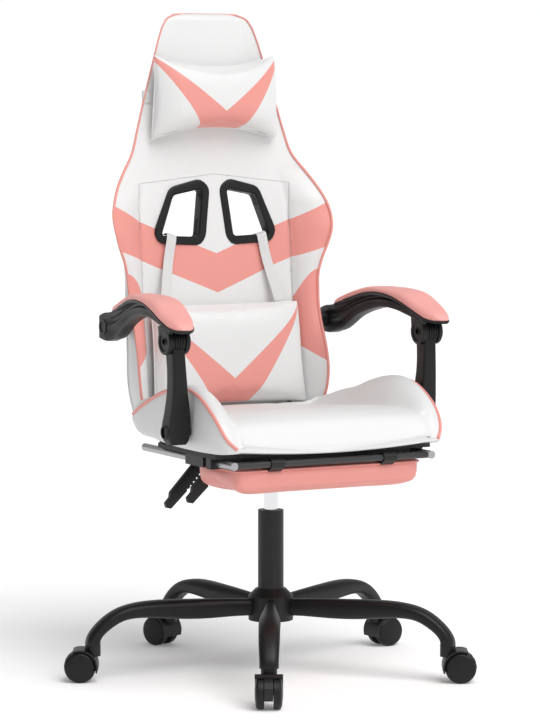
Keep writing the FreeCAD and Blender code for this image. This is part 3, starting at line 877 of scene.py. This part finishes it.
def edge_loop(obj, centre, half, tall):
    """Outermost points of a cushion, seen from the front, as a smooth closed line."""
    count = 72
    pts = np.array([v.co for v in obj.data.vertices])
    rel = np.stack([pts[:, 0] / half, (pts[:, 2] - centre) / tall], 1)
    angle = np.arctan2(rel[:, 1], rel[:, 0])
    reach = np.linalg.norm(rel, axis=1)
    out = []
    for k in range(count):
        a = -math.pi + (k + 0.5) * 2 * math.pi / count
        near = np.abs((angle - a + math.pi) % (2 * math.pi) - math.pi) < math.pi / count * 1.6
        at = np.argmax(np.where(near, reach, 0))
        out.append(pts[at])
    out = np.array(out)
    for _ in range(2):
        out = (np.roll(out, 1, 0) + 2 * out + np.roll(out, -1, 0)) / 4
    return out


def lumbar_pattern(s):
    a = (s.x + 0.004).abs()
    arms = (a * 0.83 + 0.563 - s.z).min(s.z - (a - 0.040) * 1.48 - 0.513)
    return arms.pos() * (0.222 - s.y + (s.z - 0.52) * 0.077).pos(0.003)


def head_pattern(s):
    a = (s.x - 0.003).abs()
    arms = (a * 0.78 + 1.089 - s.z).min(s.z - (a - 0.043) * 1.42 - 1.052)
    return arms.min(s.z - 1.052).pos() * (0.262 - s.y).pos(0.003)


lumbar_white = vinyl("lumbar_vinyl", WHITE, lumbar_pattern)
head_white = vinyl("head_pillow_vinyl", WHITE, head_pattern)

LUMBAR_HALF, HEAD_HALF = 0.171, 0.142
lumbar = cushion("lumbar_pillow", LUMBAR_HALF, 0.504, 0.709, depth=0.072, seam=(0.040, 0.026), box=4.0,
                 pinch=0.02, sag=0.015, flare=0.015, shift=0.003, material=lumbar_white, cap=0.005)
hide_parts("lumbar_cushion")
head = cushion("head_pillow_soft", HEAD_HALF, 1.030, 1.202, depth=0.064, seam=(0.010, 0.026), box=2.8,
               pinch=0.02, sag=0.24, flare=0.025, shift=0.0, material=head_white, cap=0.006)
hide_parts("head_pillow")
for obj, centre, half, tall in (
    (lumbar, 0.6065, LUMBAR_HALF, 0.1025), (head, 1.116, HEAD_HALF, 0.086),
):
    rim = edge_loop(obj, centre, half, tall)
    cord_line(obj.name + "_seam", rim, 0.0017, "back", white, True)


STRAP_THICK = 0.0016


def ribbon(name, middle, across, width, closed=False):
    """Flat elastic strap: middle is its centre line, across the direction of its width at each point."""
    rings = []
    n = len(middle)
    for i, (p, w) in enumerate(zip(middle, across)):
        p, w = Vector(p), Vector(w).normalized()
        a = Vector(middle[(i - 1) % n] if closed or i else middle[0])
        b = Vector(middle[(i + 1) % n] if closed or i < n - 1 else middle[-1])
        t = (b - a).normalized()
        out = t.cross(w).normalized()
        ring = []
        for k in range(8):
            side = -1 + 2 * k / 7
            ring.append(p + w * side * width / 2 + out * STRAP_THICK / 2 * (1 - 0.6 * side**6))
        for k in range(8):
            side = 1 - 2 * k / 7
            ring.append(p + w * side * width / 2 - out * STRAP_THICK / 2 * (1 - 0.6 * side**6))
        rings.append(ring)
    if closed:
        m = len(rings[0])
        verts = [p for ring in rings for p in ring]
        faces = [(i * m + j, i * m + (j + 1) % m, ((i + 1) % n) * m + (j + 1) % m, ((i + 1) % n) * m + j)
                 for i in range(n) for j in range(m)]
    else:
        verts, faces = loft(rings)
    return make(name, verts, faces, "back", elastic, "white_vinyl", 50)


elastic = Shader("white_elastic")
weave = (elastic.x * 2600.0).sin() * (elastic.z * 2600.0).sin()
elastic.colour(elastic.blend(weave * 0.5 + 0.5, tuple(c * 0.86 for c in WHITE), WHITE))
elastic.set(Roughness=0.75, Sheen_Weight=0.2)
elastic.height(weave + elastic.noise(300.0) * 0.5, 0.00025)
elastic = elastic.mat

# Each lumbar strap comes out of its slot, turns over the lower rim and runs down to the cushion.
STRAP_WIDTH = 0.021
STRAP_ROUTE = (
    (0.0985, 0.0120, 0.8440), (0.0990, 0.0040, 0.8448), (0.0998, -0.0040, 0.8460),
    (0.1003, -0.0105, 0.8430), (0.1015, -0.0112, 0.8350), (0.1035, -0.0110, 0.8250),
    (0.1060, -0.0100, 0.8120), (0.1105, -0.0110, 0.7900), (0.1170, -0.0160, 0.7600),
    (0.1225, -0.0215, 0.7340), (0.1265, -0.0250, 0.7150), (0.1272, -0.0255, 0.7100),
)
for name, sign in (("left", 1), ("right", -1)):
    route = [leant(sign * x, y, z) for x, y, z in STRAP_ROUTE]
    across = [Vector((1.0, 0.0, sign * 0.28)) for _ in route]
    strap = ribbon("lumbar_strap_" + name, route, across, STRAP_WIDTH)
    if sign > 0:
        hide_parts("lumbar_straps")

HEAD_STRAP_Z, HEAD_STRAP_WIDTH = 1.118, 0.025
half, edge, rear = smooth(BACK, HEAD_STRAP_Z)[0]
up = LEANT.to_3x3() @ Vector((0, 0, 1))
ring = back_ring(HEAD_STRAP_Z, half + 0.0015, edge, rear, 1.0)[::2]
outline = []
for i, p in enumerate(ring):
    along = (ring[(i + 1) % len(ring)] - ring[i - 1]).normalized()
    outline.append(p + along.cross(up) * STRAP_THICK)
band = ribbon("head_pillow_strap", outline, [up] * len(outline), HEAD_STRAP_WIDTH, True)
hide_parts("head_strap")


# ---- arms ----------------------------------------------------------------------------------------
# front to back: y, frame top, underside, inner x, outer x, top of pad, pad inner x, pad outer x
ARM = (
    (-0.190, 0.687, 0.683, 0.268, 0.280, 0.6890, 0.268, 0.284),
    (-0.182, 0.687, 0.683, 0.262, 0.283, 0.6985, 0.260, 0.291),
    (-0.165, 0.690, 0.683, 0.255, 0.289, 0.7075, 0.250, 0.298),
    (-0.135, 0.702, 0.686, 0.249, 0.292, 0.7200, 0.242, 0.303),
    (-0.095, 0.718, 0.693, 0.246, 0.291, 0.7370, 0.236, 0.302),
    (-0.050, 0.730, 0.701, 0.244, 0.287, 0.7430, 0.233, 0.298),
    (-0.010, 0.734, 0.704, 0.241, 0.283, 0.7440, 0.231, 0.294),
    (0.040, 0.731, 0.697, 0.239, 0.277, 0.7430, 0.230, 0.286),
    (0.090, 0.720, 0.682, 0.235, 0.270, 0.7330, 0.228, 0.276),
    (0.150, 0.705, 0.650, 0.232, 0.264, 0.7150, 0.226, 0.267),
    (0.190, 0.698, 0.642, 0.232, 0.262, 0.7040, 0.228, 0.262),
)
PAD_END = 0.154
KNUCKLE = KNUCKLE_Y, KNUCKLE_Z = axis_of("knuckle_pin_left")
ARM_BOLT = axis_of("arm_bolts")
POST_BOLT = POST_BOLT_Y, POST_BOLT_Z = axis_of("post_bolts")
# Half of the beam's section: how far down it each point lies and how far it is let in from the full width.
WEB = (
    (0.00, 0.003), (0.05, 0.0), (0.20, 0.0), (0.26, 0.0045), (0.36, 0.0055), (0.43, 0.0030), (0.47, 0.0012),
    (0.54, 0.0012), (0.58, 0.0040), (0.66, 0.0062), (0.80, 0.0050), (0.90, 0.0045), (0.97, 0.0065),
    (1.00, 0.0100),
)


def arm_beam(sign):
    rings = []
    for y in np.concatenate([np.linspace(-0.168, 0.19, 76), np.linspace(0.194, 0.222, 8)]):
        top, under, x0, x1 = smooth(ARM, min(y, 0.19))[0][:4]
        if y > 0.19:
            back = (y - 0.19) / 0.032
            top, under = top - 0.006 * back**2, under + 0.004 * back**2
        tall = top - under
        deep = clamp((tall - 0.012) / 0.022) * (1 - clamp((y - 0.165) / 0.03))
        round_ = 0.003
        outer = [(x1 - e * deep - (round_ if d in (0.0, 1.0) else 0), top - tall * d) for d, e in WEB]
        inner = [(x0 + e * deep + (round_ if d in (0.0, 1.0) else 0), top - tall * d) for d, e in WEB]
        rings.append(mirrored([(x, y, z) for x, z in outer + inner[::-1]], sign))
    return loft(rings)


def arm_tray(sign):
    rings = []
    for y in np.linspace(-0.191, PAD_END + 0.004, 60):
        top, _, _, _, _, x0, x1 = smooth(ARM, max(y, -0.1895))[0]
        spread = 0.0015 if y < 0.12 else -0.001
        x0, x1 = x0 - spread, x1 + spread
        ring = [(x0, top), (x1, top), (x1 - 0.0005, top - 0.003), (x1 - 0.004, top - 0.0055),
                (x0 + 0.004, top - 0.0055), (x0 + 0.0005, top - 0.003)]
        rings.append(mirrored([(x, y, z) for x, z in ring], sign))
    return loft(rings)


def ear(x0, x1, outside):
    """Disc at one side of the knuckle with a sunk face and a raised middle."""
    flat = x1 if outside else x0
    step = -1 if outside else 1
    profile = [(flat, 0.0005), (flat, 0.0055), (flat + step * 0.0022, 0.0065), (flat + step * 0.0022, 0.0175),
               (flat, 0.0190), (flat, 0.0232), (flat + step * 0.0018, 0.0250)]
    rest = x0 if outside else x1
    profile += [(rest - step * 0.0012, 0.0250), (rest, 0.0238), (rest, 0.0005)]
    return profile


def arm_frame(name, sign):
    x0, x1 = low("knuckle_pin_left")[0], high("knuckle_pin_left")[0]
    parts = [arm_beam(sign), arm_tray(sign)]
    parts.append(lathe(ear(x0, x0 + 0.0085, False), KNUCKLE, sign))
    parts.append(lathe(ear(x1 - 0.0085, x1, True), KNUCKLE, sign))
    for a, b in ((x0 + 0.0005, x0 + 0.008), (x1 - 0.008, x1 - 0.0005)):
        gusset = [(a, KNUCKLE_Y - 0.019, KNUCKLE_Z + 0.012), (a, KNUCKLE_Y + 0.022, KNUCKLE_Z + 0.010),
                  (a, KNUCKLE_Y + 0.024, KNUCKLE_Z + 0.028), (a, KNUCKLE_Y - 0.024, KNUCKLE_Z + 0.026)]
        parts.append(loft([mirrored(gusset, sign), mirrored([(b, y, z) for _, y, z in gusset], sign)]))
    hub = low("arm_frame_left")[0]
    collar = [(hub, 0.0005), (hub, 0.0150), (hub + 0.001, 0.0160), (0.236, 0.0160), (0.236, 0.0005)]
    parts.append(lathe(collar, ARM_BOLT, sign))
    rim = high("arm_bolts")[0]
    washer = [(rim - 0.003, 0.0095), (rim + 0.0025, 0.0100), (rim + 0.0035, 0.0110),
              (rim + 0.0035, 0.0150), (rim - 0.001, 0.0170), (rim - 0.004, 0.0170)]
    parts.append(lathe(washer, ARM_BOLT, sign))
    verts, faces = joined(parts)
    obj = make("armrest_frame_" + name, verts, faces, "arm_" + name, black, "black_plastic", 32)
    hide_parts("arm_frame_" + name)


def arm_pad(name, sign):
    rings = []
    levels = [-0.1893, -0.188, -0.1855, *np.linspace(-0.182, PAD_END - 0.014, 60)]
    levels += [PAD_END - d for d in (0.010, 0.006, 0.003, 0.001)]
    for y in levels:
        base, _, _, _, top, x0, x1 = smooth(ARM, y)[0]
        base += 0.0004
        tall = top - base
        end = max(0.0, (y - PAD_END + 0.014) / 0.014)
        tall *= math.sqrt(max(0.04, 1 - end**2))
        mid, half = (x0 + x1) / 2, (x1 - x0) / 2
        ring = []
        for a in np.linspace(0, math.pi, 41):
            c, d = math.cos(a), math.sin(a)
            ring.append((mid + half * signed_power(c, 0.55), y, base + 0.002 + (tall - 0.002) * d**0.62))
        ring += [(mid - half + 0.001, y, base), (mid + half - 0.001, y, base)]
        rings.append(mirrored(ring, sign))
    verts, faces = loft(rings)
    obj = make("armrest_pad_" + name, verts, faces, "arm_" + name, pink_pad, "pink_vinyl", 60)
    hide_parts("arm_pad_" + name)


# up the post: z, inner x, outer x, half depth
POST = (
    (0.4700, 0.2480, 0.2800, 0.0120), (0.4760, 0.2450, 0.2840, 0.0160), (0.4860, 0.2430, 0.2875, 0.0195),
    (0.5050, 0.2430, 0.2880, 0.0210), (0.5300, 0.2460, 0.2860, 0.0198), (0.5650, 0.2520, 0.2840, 0.0176),
    (0.6100, 0.2560, 0.2835, 0.0168), (0.6500, 0.2580, 0.2840, 0.0180),
)


def arm_post(name, sign):
    rings = []
    for z in np.concatenate([[0.4702, 0.4715], np.linspace(0.474, 0.650, 50)]):
        x0, x1, half = smooth(POST, z)[0]
        y = mix(POST_BOLT_Y, KNUCKLE_Y, (z - POST_BOLT_Z) / (KNUCKLE_Z - POST_BOLT_Z))
        y -= 0.008 * math.sin(clamp((z - 0.50) / 0.15) * math.pi)
        mid, wide = (x0 + x1) / 2, (x1 - x0) / 2
        ring = []
        for a in around(64):
            c, d = math.cos(a), math.sin(a)
            ring.append((mid + wide * signed_power(c, 0.30), y + half * signed_power(d, 0.30), z))
        rings.append(mirrored(ring, sign))
    drum = [(0.2592, 0.0005), (0.2592, 0.0212), (0.2602, 0.0220)]
    for k in range(4):
        x = 0.2640 + k * 0.0052
        drum += [(x, 0.0220), (x + 0.0008, 0.0206), (x + 0.0018, 0.0206), (x + 0.0026, 0.0220)]
    drum += [(0.2850, 0.0220), (0.2858, 0.0212), (0.2858, 0.0005)]
    x0 = low("arm_post_left")[0]
    boss = [(x0, 0.0005), (x0, 0.0085), (x0 + 0.001, 0.0095), (0.2560, 0.0095), (0.2560, 0.0005)]
    obj = make("armrest_post_" + name, *loft(rings), "post_" + name, black, "black_plastic", 32)
    recess = [(0.2825, 0.0005), (0.2825, 0.0096), (0.2960, 0.0096), (0.2960, 0.0005)]
    carve(obj, *lathe(recess, POST_BOLT, sign))
    collar = [(0.2870, 0.0098), (0.2905, 0.0100), (0.2912, 0.0108), (0.2912, 0.0125), (0.2870, 0.0145)]
    turned = [lathe(drum, KNUCKLE, sign), lathe(boss, POST_BOLT, sign), lathe(collar, POST_BOLT, sign)]
    verts, faces = joined(turned)
    bm = bmesh.new()
    bm.from_mesh(obj.data)
    new = [bm.verts.new(tuple(map(float, v))) for v in verts]
    for f in faces:
        bm.faces.new([new[i] for i in f])
    bm.to_mesh(obj.data)
    bm.free()
    soften(obj, 32)
    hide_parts("arm_post_" + name)


for name, sign in (("left", 1), ("right", -1)):
    arm_frame(name, sign)
    arm_pad(name, sign)
    arm_post(name, sign)


# ---- footrest pad --------------------------------------------------------------------------------
def rounded_square(mid_y, wide, deep, z, count):
    """Outline with tight rounded corners, half as wide and deep as given."""
    return [(wide * signed_power(math.cos(a), 0.11), mid_y + deep * signed_power(math.sin(a), 0.11), z)
            for a in around(count)]


def footrest_pad():
    (x0, y0, z0), (x1, y1, z1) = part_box("footrest_pad")
    z1 = z1 + 0.0095
    mid_y, deep = (y0 + y1) / 2 - 0.0025, (y1 - y0) / 2 + 0.0030
    wide = (x1 - x0) / 2 + 0.0060
    rings = []
    for d in np.linspace(0, 1, 13):
        z = mix(z0 + 0.0015, z1, d)
        shrink = 0.013 * (1 - math.sqrt(max(0.0, 1 - (1 - min(1.0, d / 0.5)) ** 2)))
        rings.append(rounded_square(mid_y, wide - shrink, deep - shrink, z, 200))
    verts, faces = loft(rings)
    obj = make("footrest_padding", verts, faces, "footrest_flap", pink, "pink_vinyl", 60)
    puff(obj, 0.004, voxel=0.006, grip=lambda p: p[2] > z1 - 0.003)
    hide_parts("footrest_pad")
    seam = rounded_square(mid_y, wide + 0.001, deep + 0.001, z1 - 0.0025, 96)
    cord_line("footrest_piping", seam, 0.0020, "footrest_flap", pink, True)


def pivot_bolts():
    """The two bolts that carry the armrests, from inside the wings out to their heads."""
    head = high("arm_bolts")[0]
    profile = [(0.2000, 0.0005), (0.2000, 0.0060), (head - 0.0050, 0.0060), (head - 0.0050, 0.0088),
               (head - 0.0010, 0.0088), (head, 0.0078), (head, 0.0035), (head - 0.0025, 0.0030),
               (head - 0.0025, 0.0005)]
    parts = [lathe(profile, ARM_BOLT, sign) for sign in (1, -1)]
    obj = make("arm_pivot_bolts", *joined(parts), "back", black_steel, "steel", 30)
    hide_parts("arm_bolts")


footrest_pad()
recline_brackets()
pivot_bolts()


# ---- camera, light and floor ---------------------------------------------------------------------
AMBIENT = 0.46
SHADE = 0.65
LAMP_SPREAD, LAMP_POWER, LAMP_TURN = 45, 2.15, (36, 0, 6)


def camera():
    azimuth, pitch, distance, height, yaw = -28.07, 4.7516, 6.031, 1.1104, 0.0146
    a = math.radians(azimuth)
    data = bpy.data.cameras.new("camera")
    data.lens = 156.47
    data.sensor_width = 36.0
    cam = placed("camera", data)
    cam.location = (math.sin(a) * distance, -math.cos(a) * distance, height)
    cam.rotation_euler = (math.radians(90 - pitch), 0, math.radians(azimuth + yaw))
    bpy.context.scene.camera = cam


def stage():
    """Pale, faintly glowing floor, a bright horizon and one large soft lamp."""
    mesh = new_mesh("floor", [(-60, -60, 0), (60, -60, 0), (60, 60, 0), (-60, 60, 0)], [(0, 1, 2, 3)])
    floor = placed("floor", mesh)
    s = Shader("pale_floor")
    s.colour(s.blend(s.noise(3.0), (0.97, 0.97, 0.97), (1.0, 1.0, 1.0)))
    s.set(Roughness=0.9, Specular_IOR_Level=0.0, Emission_Color=(1, 1, 1, 1), Emission_Strength=0.13)
    mesh.materials.append(s.mat)
    world = bpy.data.worlds.new("studio")
    world.use_nodes = True
    tree = world.node_tree
    coords = tree.nodes.new("ShaderNodeTexCoord")
    split = tree.nodes.new("ShaderNodeSeparateXYZ")
    tree.links.new(coords.outputs["Generated"], split.inputs[0])
    up = Num(tree, split.outputs[2])
    strength = (1.0 - (up.abs() - 0.10).max(0.0) * 5.0).max(0.0) * 0.55 + AMBIENT
    strength = strength * (Num(tree, split.outputs[0]).min(0.0) * SHADE + 1.0)
    tree.links.new(strength.out, tree.nodes["Background"].inputs[1])
    tree.nodes["Background"].inputs[0].default_value = (1, 1, 1, 1)
    bpy.context.scene.world = world
    lamp = bpy.data.lights.new("key", "SUN")
    lamp.angle = math.radians(LAMP_SPREAD)
    lamp.energy = LAMP_POWER
    placed("key", lamp).rotation_euler = [math.radians(t) for t in LAMP_TURN]
    bpy.context.scene.view_settings.view_transform = "Standard"


camera()
stage()


# ---- finishes on the pieces carried over from the CAD --------------------------------------------
def two_tone(name, inner, outer, edge):
    """Rods that are bare metal outside |x| = edge and black between."""
    s = Shader(name)
    bare = (s.x.abs() - edge).pos(0.0004)
    s.colour(s.blend(bare, inner, outer))
    lines = s.noise(260.0, 2.0, 0.5, (1.0, 0.05, 1.0))
    s.roughness(lines * 0.14 + 0.24)
    s.tree.links.new((bare * 0.9).out, s.bsdf.inputs["Metallic"])
    s.height(lines, 0.00003)
    return s.mat


FINISH = {
    "black_plastic": black, "black_steel": black_steel, "steel": steel, "chrome": chrome,
    "white_vinyl": white, "pink_vinyl": pink, "plywood": plywood, "grey_metal": rod_grey, "back_panel": white,
}
slots = {s["node"]: s["material_slot"] for s in frame["record"]["subparts"]}
OWN = {
    "footrest_rods": two_tone("footrest_rod_steel", (0.030, 0.030, 0.031), (0.42, 0.42, 0.43), 0.2035),
    "footrest_board": black_steel, "seat_board": black_board,
    "arm_bolts": black_steel, "post_bolts": black_steel,
}
for node, obj in frame["nodes"].items():
    for m in obj.material_slots:
        m.material = OWN.get(node, FINISH[slots[node]])
